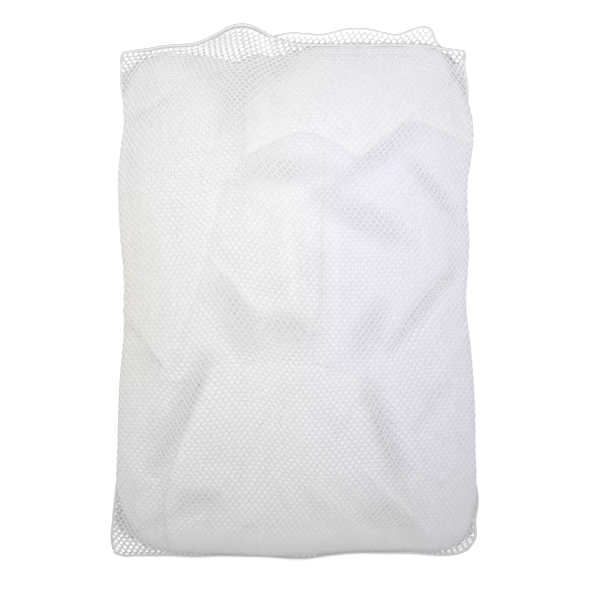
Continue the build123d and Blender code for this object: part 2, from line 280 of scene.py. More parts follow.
def seam_lines(y):
    """The middles of the left and right side seams at y."""
    inset = SEAM_INSET + (SWELL_INSET - SEAM_INSET) * swelling(y)
    return curve(LEFT_EDGE, y) + inset, curve(RIGHT_EDGE, y) - inset


def swollen(points, swell):
    """Points moved outwards near the side seams, so that the filled bag swells past them.

    At distance d in from a seam the move is swell times (d/r) e^(1 - d/r), with r the swell's reach."""
    points = points.copy()
    y = points[..., 1]
    left, right = seam_lines(y)
    share = swelling(y) * swell
    from_left = np.maximum(points[..., 0] - left, 0) / SWELL_REACH
    from_right = np.maximum(right - points[..., 0], 0) / SWELL_REACH
    points[..., 0] += share * (from_right * np.exp(1 - from_right) - from_left * np.exp(1 - from_left))
    return points


def back_height(x, y):
    """Height of the back panel: level on the floor, and rising to the seams as a parabola."""
    inward = np.minimum(x - curve(LEFT_EDGE, y), curve(RIGHT_EDGE, y) - x)
    seam = seam_height(y)
    side = np.clip(1 - inward / (BACK_SIDE_REACH * seam), 0, 1) ** 2
    end = np.clip(1 - (y - curve(BOTTOM_EDGE, x)) / BACK_END_REACH, 0, 1) ** 2
    rise = np.minimum(seam, BACK_RISE + BACK_SIDE_RISE * side) - BACK_CLEARANCE
    return BACK_CLEARANCE + (1 - (1 - side) * (1 - end)) * rise


@lru_cache(maxsize=1)
def wrinkle_list():
    """Ends, heights and widths of the small creases, strewn evenly with a fixed seed."""
    draw = np.random.default_rng(WRINKLE_SEED)
    start = draw.uniform([-0.30, -0.43], [0.30, 0.40], (WRINKLES, 2))
    turn = draw.uniform(0, math.pi, WRINKLES)
    length = draw.uniform(0.03, 0.12, WRINKLES)
    end = start + length[:, None] * np.stack([np.cos(turn), np.sin(turn)], axis=1)
    height = draw.choice([-1.0, 1.0], WRINKLES) * draw.uniform(0.0004, 0.0015, WRINKLES)
    width = draw.uniform(0.003, 0.009, WRINKLES)
    return start, end, height, width


def ridge(x, y, start, end, height, width, sharpness):
    """A fold along a line: height times e to the minus (distance over width) to the power sharpness.

    Its height falls towards both ends as 1 - FOLD_TAPER s^2, with s from -1 to 1 along the line."""
    run = end - start
    length = np.hypot(*run)
    along = ((x - start[0]) * run[0] + (y - start[1]) * run[1]) / length**2
    nearest = np.clip(along, 0, 1)
    away = np.hypot(x - start[0] - nearest * run[0], y - start[1] - nearest * run[1])
    taper = 1 - FOLD_TAPER * (2 * nearest - 1) ** 2
    return height * taper * np.exp(-((away / width) ** sharpness))


def folds(x, y):
    """Sum of the soft folds and the small creases at x, y."""
    total = np.zeros_like(x)
    for x0, y0, x1, y1, height, width, sharpness in FOLDS:
        ends = np.array([[x0, y0], [x1, y1]]) * MM
        total += ridge(x, y, ends[0], ends[1], height * MM, width * MM, sharpness)
    for start, end, height, width in zip(*wrinkle_list()):
        total += ridge(x, y, start, end, height, width, WRINKLE_SHARPNESS)
    return total


def heap_sides(y):
    """The heap's left and right boundaries at y."""
    gap = SLACK_TO_HEAP + (SEAM_TO_HEAP - SLACK_TO_HEAP) * swelling(y)
    left, right = seam_lines(y)
    return left + gap, right - gap


def heap_top(x, y):
    """Height of the heap without its folds.

    Its crown is the lesser of two heights, which grow from the mouth end and from the sewn end. Across
    the bag it falls from the crown to the side seams as (1 - |t|^2.4)^0.6, with t from -1 to 1."""
    from_mouth = curve(HEIGHT_FROM_MOUTH, np.maximum(curve(HEAP_MOUTH_END, x) - y, 0))
    from_end = curve(HEIGHT_FROM_SEWN_END, np.maximum(y - curve(HEAP_SEWN_END, x), 0))
    crown = soft_min(from_mouth, from_end, ROUNDING)
    left, right = heap_sides(y)
    t = np.clip((2 * x - left - right) / (right - left), -1, 1)
    low = np.minimum(seam_height(y) + SIDE_RISE * swelling(y), 0.6 * crown)
    return low + (crown - low) * (1 - np.abs(t) ** SHOULDER) ** SHOULDER_POWER


# The linens ---------------------------------------------------------------------------------------

def heap_side(side, low, high):
    """Points up the heap's left (0) or right (1) boundary from y = low to high."""
    y = np.linspace(low, high, 24) * MM
    return np.stack([heap_sides(y)[side], y], axis=1)


def heap_end(end, left, right):
    """Points across one of the heap's ends from x = left to right."""
    x = np.linspace(left, right, 40) * MM
    return np.stack([x, curve(end, x)], axis=1)


def route(*points):
    """Points in millimetres as an array in metres."""
    return np.array(points, float) * MM


def along(path, share):
    """Points of a path at shares of its length, on a smooth curve through its own points."""
    gaps = np.linalg.norm(np.diff(path, axis=0), axis=1)
    place = np.concatenate([[0], np.cumsum(gaps)])
    return through(place / place[-1], path, np.asarray(share, float))


def patch(sewn, mouth, left, right, across, up):
    """Plan points of a four-sided patch at shares across and up: opposite sides blended, less the corners.

    sewn and mouth run from left to right, and left and right run towards the mouth."""
    a = across[..., None]
    b = up[..., None]
    sides = (1 - b) * along(sewn, across) + b * along(mouth, across)
    sides += (1 - a) * along(left, up) + a * along(right, up)
    corners = (1 - a) * ((1 - b) * sewn[0] + b * mouth[0]) + a * ((1 - b) * sewn[-1] + b * mouth[-1])
    return sides - corners


def closed_sheet_faces(rows, columns):
    """Faces of an upper and a lower grid of rows by columns points that share their outer ring.

    The lower grid's points follow the upper grid's; the ring's copies below are left out."""
    index = np.arange(rows * columns).reshape(rows, columns)
    inner = np.full((rows, columns), -1)
    inner[1:-1, 1:-1] = rows * columns + np.arange((rows - 2) * (columns - 2)).reshape(rows - 2, columns - 2)
    below = np.where(inner < 0, index, inner)
    upper = np.stack([index[:-1, :-1], index[:-1, 1:], index[1:, 1:], index[1:, :-1]], axis=-1)
    lower = np.stack([below[:-1, :-1], below[1:, :-1], below[1:, 1:], below[:-1, 1:]], axis=-1)
    return np.concatenate([upper.reshape(-1, 4), lower.reshape(-1, 4)])


def edge_spaced(count):
    """Shares from 0 to 1, closer together near both ends: half of 1 - cos, mixed with even spacing."""
    even = np.linspace(0, 1, count)
    return 0.45 * even + 0.55 * (1 - np.cos(math.pi * even)) / 2


def mesh_object(name, points, faces, smooth=True):
    """A mesh object at the origin from arrays of points and faces of equal size."""
    mesh = bpy.data.meshes.new(name)
    faces = np.asarray(faces)
    mesh.vertices.add(len(points))
    mesh.vertices.foreach_set("co", np.asarray(points, np.float32).ravel())
    mesh.loops.add(faces.size)
    mesh.loops.foreach_set("vertex_index", faces.ravel().astype(np.int32))
    mesh.polygons.add(len(faces))
    mesh.polygons.foreach_set("loop_start", np.arange(0, faces.size, faces.shape[1], dtype=np.int32))
    mesh.update(calc_edges=True)
    mesh.validate()
    mesh.polygons.foreach_set("use_smooth", np.full(len(mesh.polygons), smooth))
    piece = bpy.data.objects.new(name, mesh)
    bpy.context.scene.collection.objects.link(piece)
    return piece


def depth_inside(outline, x, y):
    """Distance in from a closed outline's nearest edge, and less than 0 outside it.

    A point is inside where a ray from it crosses the outline an odd number of times."""
    run = np.roll(outline, -1, axis=0) - outline
    keep = np.hypot(run[:, 0], run[:, 1]) > TINY
    nearest = np.full(x.shape, np.inf)
    crossings = np.zeros(x.shape, int)
    for origin, step in zip(outline[keep], run[keep]):
        from_x = x - origin[0]
        from_y = y - origin[1]
        share = np.clip((from_x * step[0] + from_y * step[1]) / (step @ step), 0, 1)
        away = (from_x - share * step[0]) ** 2 + (from_y - share * step[1]) ** 2
        nearest = np.minimum(nearest, away)
        spans = (from_y < 0) != (from_y < step[1])
        rise = step[1] if abs(step[1]) > TINY else TINY
        crossings += spans & (from_x < from_y * step[0] / rise)
    return np.sqrt(nearest) * np.where(crossings % 2 == 1, 1, -1)


def fold_edge(depth, radius):
    """Profile of a folded edge: the quarter circle sqrt(1 - (1 - m)^2), with m the depth over the radius."""
    m = np.clip(depth / radius, 0, 1)
    return np.sqrt(np.maximum(1 - (1 - m) ** 2, 0))


def pinned(path, first, last):
    """A path whose end points are moved to those of its neighbours."""
    path = path.copy()
    path[0] = first
    path[-1] = last
    return path


class Linen:
    """One folded cloth of the upper layer: its four sides, seen from above, and how far it stands out."""

    def __init__(self, sewn, mouth, left, right, lift, slot, node):
        self.sewn = sewn
        self.mouth = mouth
        self.left = pinned(left, sewn[0], mouth[0])
        self.right = pinned(right, sewn[-1], mouth[-1])
        self.lift = lift * MM
        self.slot = slot
        self.node = node

    def outline(self):
        """The closed outline: the sewn side, the right side, and the other two turned round."""
        share = np.linspace(0, 1, 40)
        sides = [along(self.sewn, share), along(self.right, share), along(self.mouth, share[::-1])]
        sides.append(along(self.left, share[::-1]))
        return np.concatenate(sides)

    def heights(self, x, y, depth):
        """Heights of its upper and lower side at x, y, as deep as `depth` in from its edge."""
        top = heap_top(x, y) + self.lift + folds(x, y)
        left, right = heap_sides(y)
        inward = np.minimum(x - left, right - x)
        over_seam = seam_height(y) + SEAM_CLEARANCE - SEAM_SLOPE * np.maximum(inward - SEAM_LEDGE, 0)
        under = np.maximum(back_height(x, y) + FLOOR_CLEARANCE, over_seam * swelling(y))
        bottom = np.maximum(top - LINEN_THICKNESS, under)
        middle = (top + np.minimum(bottom, top - LINEN_LEAST)) / 2
        half = (top - middle) * fold_edge(depth, LINEN_EDGE)
        return middle + half, middle - half


@lru_cache(maxsize=1)
def upper_linens():
    """The folded cloths of the upper layer by name, from the lowest to the topmost."""
    left_fold = route((-203, -138), (-180, -70), (-157, -10), (-139, 51), (-124, 115), (-108, 175),
                      (-82, 215), (-70, 300), (-70, 384))
    top_v = route((-86, 212), (-50, 232), (-10, 252), (10, 259), (43, 250), (75, 234), (109, 216), (140, 236),
                  (191, 276), (240, 262), (285, 240))
    right_foot = route((20, -120), (80, -140), (120, -185), (160, -250), (200, -300), (270, -326))
    lower_top = route((-140, -118), (-60, -110), (20, -112), (80, -126), (135, -150))

    rows = (
        ("linen_lower_left", heap_end(HEAP_SEWN_END, -268, -170),
         route((-284, -10), (-225, -40), (-150, -60)), heap_side(0, -400, -10),
         route((-170, -425), (-160, -300), (-150, -60)), -2, "linen_white", "linen_left"),
        ("linen_centre", route((-230, -150), (-150, -152), (-40, -146), (60, -138)),
         route((-130, 285), (-60, 290), (0, 292), (80, 288)), route((-230, -150), (-175, 50), (-130, 285)),
         route((60, -138), (48, 0), (50, 120), (80, 288)), 0.5, "linen_white", "linen_centre"),
        ("linen_lower", heap_end(HEAP_SEWN_END, -205, 232), lower_top,
         route((-205, -425), (-215, -370), (-205, -300), (-180, -220), (-155, -150), (-140, -118)),
         route((232, -425), (190, -330), (150, -240), (135, -150)), 2, "linen_white", "linen_lower"),
        ("linen_right", right_foot, route((43, 296), (120, 300), (200, 300), (288, 296)),
         route((20, -120), (38, -60), (43, 20), (42, 120), (43, 296)),
         heap_side(1, -330, 296), 1.5, "linen_cool", "linen_right"),
        ("linen_bottom_right", heap_end(HEAP_SEWN_END, 215, 278),
         route((118, -150), (200, -170), (290, -190)),
         route((215, -425), (180, -330), (142, -240), (118, -150)),
         heap_side(1, -405, -190), 2.5, "linen_cool", "linen_bottom_right"),
        ("linen_left", route((-283, -30), (-262, -62), (-232, -105), (-203, -138)),
         heap_end(HEAP_MOUTH_END, -262, -70), heap_side(0, -30, 376), left_fold,
         3, "linen_white", "linen_left"),
        ("linen_top", top_v, heap_end(HEAP_MOUTH_END, -84, 264), route((-86, 212), (-86, 300), (-84, 384)),
         heap_side(1, 240, 376), 5, "linen_white", "linen_top"),
    )
    return {row[0]: Linen(*row[1:]) for row in rows}


def pile_top(x, y):
    """Height of the topmost linen at x, y, and of the floor where none lies."""
    top = np.zeros_like(x)
    for cloth in upper_linens().values():
        depth = depth_inside(cloth.outline(), x, y)
        upper, _ = cloth.heights(x, y, depth)
        top = np.where(depth > 0, np.maximum(top, upper), top)
    return top


def closed_sheet(name, x, y, upper, lower):
    """A closed cloth from the heights of its upper and lower side, which meet along the grid's ring."""
    upper_points = swollen(np.stack([x, y, upper], axis=-1), LINEN_SWELL)
    lower_points = swollen(np.stack([x, y, lower], axis=-1), LINEN_SWELL)[1:-1, 1:-1]
    points = np.concatenate([upper_points.reshape(-1, 3), lower_points.reshape(-1, 3)])
    return mesh_object(name, points, closed_sheet_faces(*x.shape))


def linen_mesh(name, cloth, across=110, along_it=120):
    """A closed cloth: an upper and a lower sheet on one grid, which meet in a rounded fold at the edge."""
    a, b = np.meshgrid(edge_spaced(across), edge_spaced(along_it))
    plan = patch(cloth.sewn, cloth.mouth, cloth.left, cloth.right, a, b)
    x = plan[..., 0]
    y = plan[..., 1]
    depth = np.maximum(depth_inside(cloth.outline(), x, y), 0)
    ring = np.ones(x.shape, bool)
    ring[1:-1, 1:-1] = False
    depth[ring] = 0
    upper, lower = cloth.heights(x, y, depth)
    return closed_sheet(name, x, y, upper, lower)


def base_layer_mesh(name, low, high, side_inset, mouth_inset):
    """One folded layer of the base: the heap's outline moved in, with a soft wave of 3 mm, and rounded."""
    a, b = np.meshgrid(edge_spaced(100), edge_spaced(110))
    x = (a - 0.5) * BASE_WIDTH
    y = (b - 0.5) * BASE_LENGTH
    for _ in range(BASE_ROUNDS):
        left, right = heap_sides(y)
        wave = 0.003 * np.sin(y * 41 + low) + 0.002 * np.sin(y * 97 + 2 * low)
        left = left + side_inset * MM + wave
        right = right - side_inset * MM + wave
        x = left + a * (right - left)
        wave = 0.003 * np.sin(x * 37 + low)
        first = curve(HEAP_SEWN_END, x) + (4 + 0.6 * side_inset) * MM + wave
        last = curve(HEAP_MOUTH_END, x) - mouth_inset * MM + wave
        y = first + b * (last - first)
    edge = np.minimum(np.minimum(a, 1 - a) * 0.58, np.minimum(b, 1 - b) * 0.8)
    ring = fold_edge(np.maximum(edge, 0), BASE_EDGE)
    ceiling = heap_top(x, y) - BASE_LEAST_DEPTH
    top = np.minimum(high * MM, np.maximum(ceiling, low * MM + LINEN_LEAST))
    middle = (top + low * MM) / 2
    half = (top - low * MM) / 2 * ring
    return closed_sheet(name, x, y, middle + half, middle - half)


# The net ------------------------------------------------------------------------------------------

def panel_plan(mouth_edge):
    """Plan of a net panel as two arrays: even shares from seam to seam and from the sewn end to the hem."""
    s, t = np.meshgrid(np.linspace(0, 1, NET_COLUMNS), np.linspace(0, 1, NET_ROWS))
    x = (s - 0.5) * PLAN_WIDTH
    y = (t - 0.5) * PLAN_LENGTH
    for _ in range(PLAN_ROUNDS):
        left, right = seam_lines(y)
        x = left + s * (right - left)
        low = curve(BOTTOM_EDGE, x) + SEAM_INSET
        high = curve(mouth_edge, x) - HEM_INSET
        y = low + t * (high - low)
    return x, y


def pin_edges(height, x, y, mouth_height):
    """Heights whose four sides are those of the seams and of the hem."""
    height[:, 0] = seam_height(y[:, 0])
    height[:, -1] = seam_height(y[:, -1])
    height[0] = curve(BOTTOM_SEAM_HEIGHT, x[0])
    height[-1] = curve(mouth_height, x[-1])
    return height


def evened(grid):
    """A grid of points moved along its rows and then along its columns to even spacing by true length."""
    for _ in range(2):
        for k in range(len(grid)):
            steps = np.linalg.norm(np.diff(grid[k], axis=0), axis=1)
            place = np.concatenate([[0], np.cumsum(steps)])
            at = np.linspace(0, place[-1], len(place))
            grid[k] = np.stack([np.interp(at, place, grid[k][:, n]) for n in range(3)], axis=1)
        grid = grid.transpose(1, 0, 2).copy()
    return grid


@lru_cache(maxsize=1)
def front_grid():
    """The front panel as a grid of points: a stretched skin that rests on the linens.

    Every point inside moves again and again to the mean height of its four neighbours, and never below
    what it rests on."""
    x, y = panel_plan(FRONT_EDGE)
    rest = np.maximum(pile_top(x, y), back_height(x, y) + PANEL_GAP) + NET_GAP
    height = pin_edges(rest.copy(), x, y, FRONT_EDGE_HEIGHT)
    for _ in range(DRAPE_ROUNDS):
        mean = (height[1:-1, :-2] + height[1:-1, 2:] + height[:-2, 1:-1] + height[2:, 1:-1]) / 4
        height[1:-1, 1:-1] = np.maximum(mean, rest[1:-1, 1:-1])
    return evened(swollen(np.stack([x, y, height], axis=-1), NET_SWELL))


@lru_cache(maxsize=1)
def back_grid():
    """The back panel as a grid of points: it lies on the floor and rises to its seams and hem."""
    x, y = panel_plan(BACK_EDGE)
    height = back_height(x, y)
    lift = curve(BACK_EDGE_HEIGHT, x) - height[-1]
    near = np.clip(1 - (y[-1] - y) / LIP_CURL, 0, 1)
    height = np.maximum(height + lift * near**2, BACK_CLEARANCE)
    height = pin_edges(height, x, y, BACK_EDGE_HEIGHT)
    return evened(swollen(np.stack([x, y, height], axis=-1), BACK_SWELL))


def grid_normals(grid):
    """Unit normals of a grid of points: its slope across, crossed with its slope along."""
    normal = np.cross(np.gradient(grid, axis=1), np.gradient(grid, axis=0))
    return normal / np.linalg.norm(normal, axis=-1, keepdims=True)


def read_grid(grid, u, v):
    """A grid's value at shares u across and v along it, blended from the four nearest points."""
    rows, columns = grid.shape[:2]
    a = np.clip(u, 0, 1) * (columns - 1)
    b = np.clip(v, 0, 1) * (rows - 1)
    i = np.minimum(a.astype(int), columns - 2)
    j = np.minimum(b.astype(int), rows - 2)
    a = (a - i)[..., None]
    b = (b - j)[..., None]
    low = (1 - a) * grid[j, i] + a * grid[j, i + 1]
    high = (1 - a) * grid[j + 1, i] + a * grid[j + 1, i + 1]
    return (1 - b) * low + b * high


def knit_offsets(net, fullness):
    """Corners of a knot between two threads, as places from the knot: the net's leg and its diagonals.

    A corner between threads of half widths a and b, which run along d and e, is at (b d + a e) / sin,
    with sin that of the angle between them."""
    leg_half = fullness * net.leg_width / 2
    half = fullness * net.diagonal_width / 2
    diagonal = np.array([net.cell_width / 2, net.row_height - net.leg_length])
    diagonal /= np.hypot(*diagonal)
    side = (half * np.array([0.0, -1.0]) + leg_half * diagonal) / diagonal[0]
    crown = half * np.array([0.0, 2 * diagonal[1]]) / (2 * diagonal[0] * diagonal[1])
    return side, crown


def bunched(u, v, place, width, length):
    """Shares u and v of the knots, moved to where the net bunches; place holds the knots' points.

    Towards the mouth's left corner the cells are closer, and in the middle of the mouth wider: u loses
    0.06 sin(pi s), with s = 1 - (1 - u)^1.73, and v gains 0.03 sin(pi t) cos(2.6 u), with t from the
    middle to the mouth. Near a gather's line a knot moves towards it by the gather's reach, times
    (d/w) e^(1/2 - (d/w)^2 / 2)."""
    near_mouth = soft_step((v - 0.6) / 0.3)
    t = np.clip((v - 0.45) / 0.55, 0, 1)
    shift_u = -0.06 * np.sin(math.pi * (1 - (1 - np.clip(u, 0, 1)) ** 1.73)) * near_mouth
    shift_v = 0.03 * np.sin(math.pi * t) * np.cos(2.6 * u) * np.sin(math.pi * np.clip(u, 0, 1)) ** 0.5
    for x0, y0, x1, y1, reach, across in np.array(GATHERS) * MM:
        run = np.array([x1 - x0, y1 - y0])
        size = np.hypot(*run)
        run = run / size
        along_it = (place[..., 0] - x0) * run[0] + (place[..., 1] - y0) * run[1]
        off = (place[..., 0] - x0) * -run[1] + (place[..., 1] - y0) * run[0]
        ends = soft_step(along_it / size * 4 + 0.5) * soft_step((1 - along_it / size) * 4 + 0.5)
        pull = -reach * off / across * np.exp(0.5 - (off / across) ** 2 / 2) * ends
        shift_u = shift_u - pull * run[1] / width
        shift_v = shift_v + pull * run[0] / length
    return u + shift_u, v + shift_v


# Corners of each kind of thread, right and left at its first knot and then at its last: legs, threads that
# slant to the right and threads that slant to the left.
CORNERS = ((3, 2, 3, 2), (3, 4, 4, 2), (4, 2, 3, 4))


def net_threads(grid, net, seed, fullness):
    """Points and threads of a knitted net with six-sided holes, laid on a grid.

    Upright legs stand in rows, each row half a cell to one side of the next, and slanting threads join
    the top of a leg to the feet of the two above it. A leg's foot and top each have five points: above,
    below, and in the three corners between their threads. A thread is a row of two knots and, for each,
    its corner to the right and to the left. Returned are the points, the threads' knots (first, last)
    and corners (right, left at the first, right, left at the last), and the thread's kind."""
    normals = grid_normals(grid)
    width = np.linalg.norm(np.diff(grid, axis=1), axis=-1).sum(axis=1).mean()
    length = np.linalg.norm(np.diff(grid, axis=0), axis=-1).sum(axis=0).mean()
    columns = round(width / net.cell_width)
    rows = round(length / net.row_height)
    i, j = np.meshgrid(np.arange(columns + 1), np.arange(rows))
    odd = j % 2
    draw = np.random.default_rng(seed)
    u = (i + 0.5 * odd) / columns
    v = (j + 0.5) / rows
    reach = np.clip(np.minimum(u, 1 - u) * 8, 0, 1) * np.clip(np.minimum(v, 1 - v) * 12, 0, 1)
    turn = 2 * math.pi
    phase = draw.uniform(0, turn, 8)
    sway = np.sin(turn * (1.3 * v + 0.6 * u) + phase[0])
    sway = sway + 0.6 * np.sin(turn * (3.1 * v - 1.7 * u) + phase[1])
    heave = np.sin(turn * (1.6 * u + 0.5 * v) + phase[2])
    heave = heave + 0.6 * np.sin(turn * (3.7 * u + 1.9 * v) + phase[3])
    drawn_u, drawn_v = bunched(u, v, read_grid(grid, u, v), width, length)
    u = u + reach * (drawn_u - u)
    v = v + reach * (drawn_v - v)
    u = u + reach * (net.waviness * sway + draw.normal(0, net.unevenness, u.shape)) / width
    v = v + reach * (net.waviness * heave + draw.normal(0, net.unevenness, v.shape)) / length
    side, crown = knit_offsets(net, fullness)
    leg = net.leg_length / 2
    low = np.array([[0, 0], [0, 0], [-side[0], -side[1]], [side[0], -side[1]], [0, -crown[1]]]) - [0, leg]
    high = np.array([[0, 0], [0, 0], [-side[0], side[1]], [side[0], side[1]], [0, crown[1]]]) + [0, leg]
    offsets = np.stack([low, high])
    at_u = u[..., None, None] + offsets[..., 0] / width
    at_v = v[..., None, None] + offsets[..., 1] / length
    lift = np.array([0.5, -0.5, 0, 0, 0])[:, None] * net.thread_height
    points = read_grid(grid, at_u, at_v) + read_grid(normals, at_u, at_v) * lift
    knot = np.arange(2 * i.size).reshape(rows, columns + 1, 2)
    foot = knot[..., 0]
    head = knot[..., 1]
    real = (i < columns) | (odd == 0)
    left_of = np.where(odd == 0, i - 1, i)
    above = np.minimum(j + 1, rows - 1)
    threads = []
    for kind, shift in enumerate((0, 1, 0)):
        first = foot
        last = head
        ok = real
        if kind > 0:
            to = left_of + shift
            ok = real & (j + 1 < rows) & (to >= 0) & (to <= columns)
            to = np.clip(to, 0, columns)
            ok &= real[above, to]
            first = head
            last = foot[above, to]
        ends = np.stack([first[ok], last[ok], np.full(ok.sum(), kind)], axis=1)
        threads.append(np.concatenate([ends, np.tile(CORNERS[kind], (len(ends), 1))], axis=1))
    return points.reshape(-1, 3), np.concatenate(threads)


def thread_faces(threads):
    """Faces of diamond-sided threads, and of the caps that close each knot where a thread is left out."""
    first, last, kind, right_first, left_first, right_last, left_last = threads.T
    near = [5 * first, 5 * first + right_first, 5 * first + 1, 5 * first + left_first]
    far = [5 * last, 5 * last + right_last, 5 * last + 1, 5 * last + left_last]
    sides = [np.stack([near[k], near[k - 3], far[k - 3], far[k]], axis=1) for k in range(4)]
    knots = max(first.max(), last.max()) + 1
    taken = np.zeros((knots, 3), bool)
    taken[first, kind] = True
    taken[last, kind] = True
    used = taken.any(axis=1)
    is_foot = np.arange(knots) % 2 == 0
    for kind, (right, left, right_end, left_end) in enumerate(CORNERS):
        open_end = used & ~taken[:, kind]
        starts = 5 * np.flatnonzero(open_end & (is_foot == (kind == 0)))
        ends = 5 * np.flatnonzero(open_end & (is_foot != (kind == 0)))
        sides.append(np.stack([starts, starts + right, starts + 1, starts + left], axis=1))
        sides.append(np.stack([ends, ends + left_end, ends + 1, ends + right_end], axis=1))
    return np.concatenate(sides)


def net_pieces(grid, net, seed, names, fullness):
    """Two pieces of net: the panel below the fold line at the mouth, and the lip beyond it."""
    points, threads = net_threads(grid, net, seed, fullness)
    middle = (points[5 * threads[:, 0]] + points[5 * threads[:, 1]]) / 2
    beyond = (middle - HINGE_POINT) @ HINGE_OUTWARD > 0
    pieces = []
    for name, chosen in zip(names, (~beyond, beyond)):
        faces = thread_faces(threads[chosen])
        used, faces = np.unique(faces, return_inverse=True)
        pieces.append(mesh_object(name, points[used], faces.reshape(-1, 4)))
    return pieces


# Seams, hems and stitching ------------------------------------------------------------------------

def profile_faces(rings, around):
    """Faces of a closed tube of rings, with each end capped by a strip of quads."""
    index = np.arange(rings * around).reshape(rings, around)
    after = np.roll(index, -1, axis=1)
    wall = np.stack([index[:-1], index[1:], after[1:], after[:-1]], axis=-1).reshape(-1, 4)
    step = np.arange(around // 2 - 1)
    cap = np.stack([step, step + 1, around - 2 - step, around - 1 - step], axis=1)
    return np.concatenate([wall, index[0][cap], index[-1][cap[:, ::-1]]])


def path_frame(path):
    """Unit vectors along a path, to its right and upwards from it, at each of its points."""
    run = np.gradient(path, axis=0)
    run /= np.linalg.norm(run, axis=1, keepdims=True)
    right = np.cross(run, [0.0, 0.0, 1.0])
    right /= np.linalg.norm(right, axis=1, keepdims=True)
    return run, right, np.cross(right, run)


def path_length(path):
    """Distance along a path at each of its points."""
    return np.concatenate([[0], np.cumsum(np.linalg.norm(np.diff(path, axis=0), axis=1))])


def even_path(path, spacing):
    """A path's points at even spacing."""
    place = path_length(path)
    at = np.linspace(0, place[-1], max(int(place[-1] / spacing), 4))
    return np.stack([np.interp(at, place, path[:, n]) for n in range(3)], axis=1)


def rope_points(path, width, height, around, swell, pitch):
    """Rings of an oval carried along a path, swelling with its twist.

    At angle a and distance d the oval's size is 1 + swell cos(2 pi d / pitch + a)."""
    _, right, up = path_frame(path)
    angle = np.linspace(0, 2 * math.pi, around, endpoint=False)
    size = 1 + swell * np.cos(2 * math.pi * path_length(path)[:, None] / pitch + angle)
    across = (np.cos(angle) * size)[..., None] * right[:, None] * width / 2
    above = (np.sin(angle) * size)[..., None] * up[:, None] * height / 2
    return path[:, None] + across + above


def winding(path, width, height, pitch, per_turn=14):
    """Centre line of a thread wound round a path: an oval helix of the given pitch."""
    place = path_length(path)
    count = int(place[-1] / pitch * per_turn)
    at = np.linspace(0, place[-1], count)
    centre = np.stack([np.interp(at, place, path[:, n]) for n in range(3)], axis=1)
    _, right, up = path_frame(centre)
    turn = 2 * math.pi * at / pitch
    return centre + np.cos(turn)[:, None] * right * width / 2 + np.sin(turn)[:, None] * up * height / 2


def tube(path, radius, around=6):
    """Rings of a round thread carried along a path."""
    return rope_points(path, 2 * radius, 2 * radius, around, 0.0, 1.0)


def tubes_object(name, tubes):
    """One object of several closed tubes, each an array of rings."""
    points = []
    faces = []
    total = 0
    for rings in tubes:
        faces.append(profile_faces(len(rings), rings.shape[1]) + total)
        points.append(rings.reshape(-1, 3))
        total += rings.shape[0] * rings.shape[1]
    return mesh_object(name, np.concatenate(points), np.concatenate(faces))


def side_seam_path(side):
    """Middle line of a side seam, 0 the left and 1 the right, from the sewn end to the mouth."""
    y = np.linspace(SEAM_START, SEAM_ENDS[side], 500)
    return np.stack([seam_lines(y)[side], y, seam_height(y)], axis=1)


def bottom_seam_path():
    """Middle line of the sewn end's seam, from left to right."""
    x = np.linspace(*BOTTOM_SEAM_ENDS, 400)
    return np.stack([x, curve(BOTTOM_EDGE, x) + SEAM_INSET, curve(BOTTOM_SEAM_HEIGHT, x)], axis=1)


def hem_path(edge, height):
    """Middle line of a hem, from left to right."""
    x = np.linspace(*HEM_ENDS, 700)
    return np.stack([x, curve(edge, x) - HEM_WIDTH / 2, curve(height, x)], axis=1)


def stitches(path, spacing, length, width, height):
    """Small stitches along a path: each an ellipsoid, 8 points round and 5 along.

    A ring at share t from end to end has the size sin(pi t)."""
    centre = even_path(path, spacing)
    run, right, up = path_frame(centre)
    share = np.linspace(0.06, 0.94, 5)
    angle = np.linspace(0, 2 * math.pi, 8, endpoint=False)
    size = np.sin(math.pi * share)[None, :, None, None]
    place = -np.cos(math.pi * share)[None, :, None, None] * length / 2
    points = centre[:, None, None] + run[:, None, None] * place
    points = points + size * np.cos(angle)[None, None, :, None] * right[:, None, None] * width / 2
    points = points + size * np.sin(angle)[None, None, :, None] * up[:, None, None] * height / 2
    return points


def stitches_object(name, points):
    """One object of many stitches."""
    one = profile_faces(points.shape[1], points.shape[2])
    step = points.shape[1] * points.shape[2]
    faces = one[None] + step * np.arange(len(points))[:, None, None]
    return mesh_object(name, points.reshape(-1, 3), faces.reshape(-1, 4))


# Materials ----------------------------------------------------------------------------------------

class Wire:
    """A node's output used in arithmetic: each operation adds a Math node."""

    def __init__(self, finish, socket):
        self.finish = finish
        self.socket = socket

    def maths(self, operation, *values):
        node = self.finish.add("ShaderNodeMath", {"operation": operation}, dict(enumerate(values)))
        return self.finish.wire(node, 0)

    def __add__(self, other):
        return self.maths("ADD", self, other)

    def __sub__(self, other):
        return self.maths("SUBTRACT", self, other)

    def __mul__(self, other):
        return self.maths("MULTIPLY", self, other)

    def __pow__(self, other):
        return self.maths("POWER", self, other)

    def __rsub__(self, other):
        return self.maths("SUBTRACT", other, self)

    __radd__ = __add__
    __rmul__ = __mul__

    def sin(self):
        return self.maths("SINE", self)

    def clamped(self, low, high):
        """0 at low and below, 1 at high and above."""
        settings = {"clamp": True}
        node = self.finish.add("ShaderNodeMapRange", settings, {0: self, 1: low, 2: high, 3: 0.0, 4: 1.0})
        return self.finish.wire(node, 0)


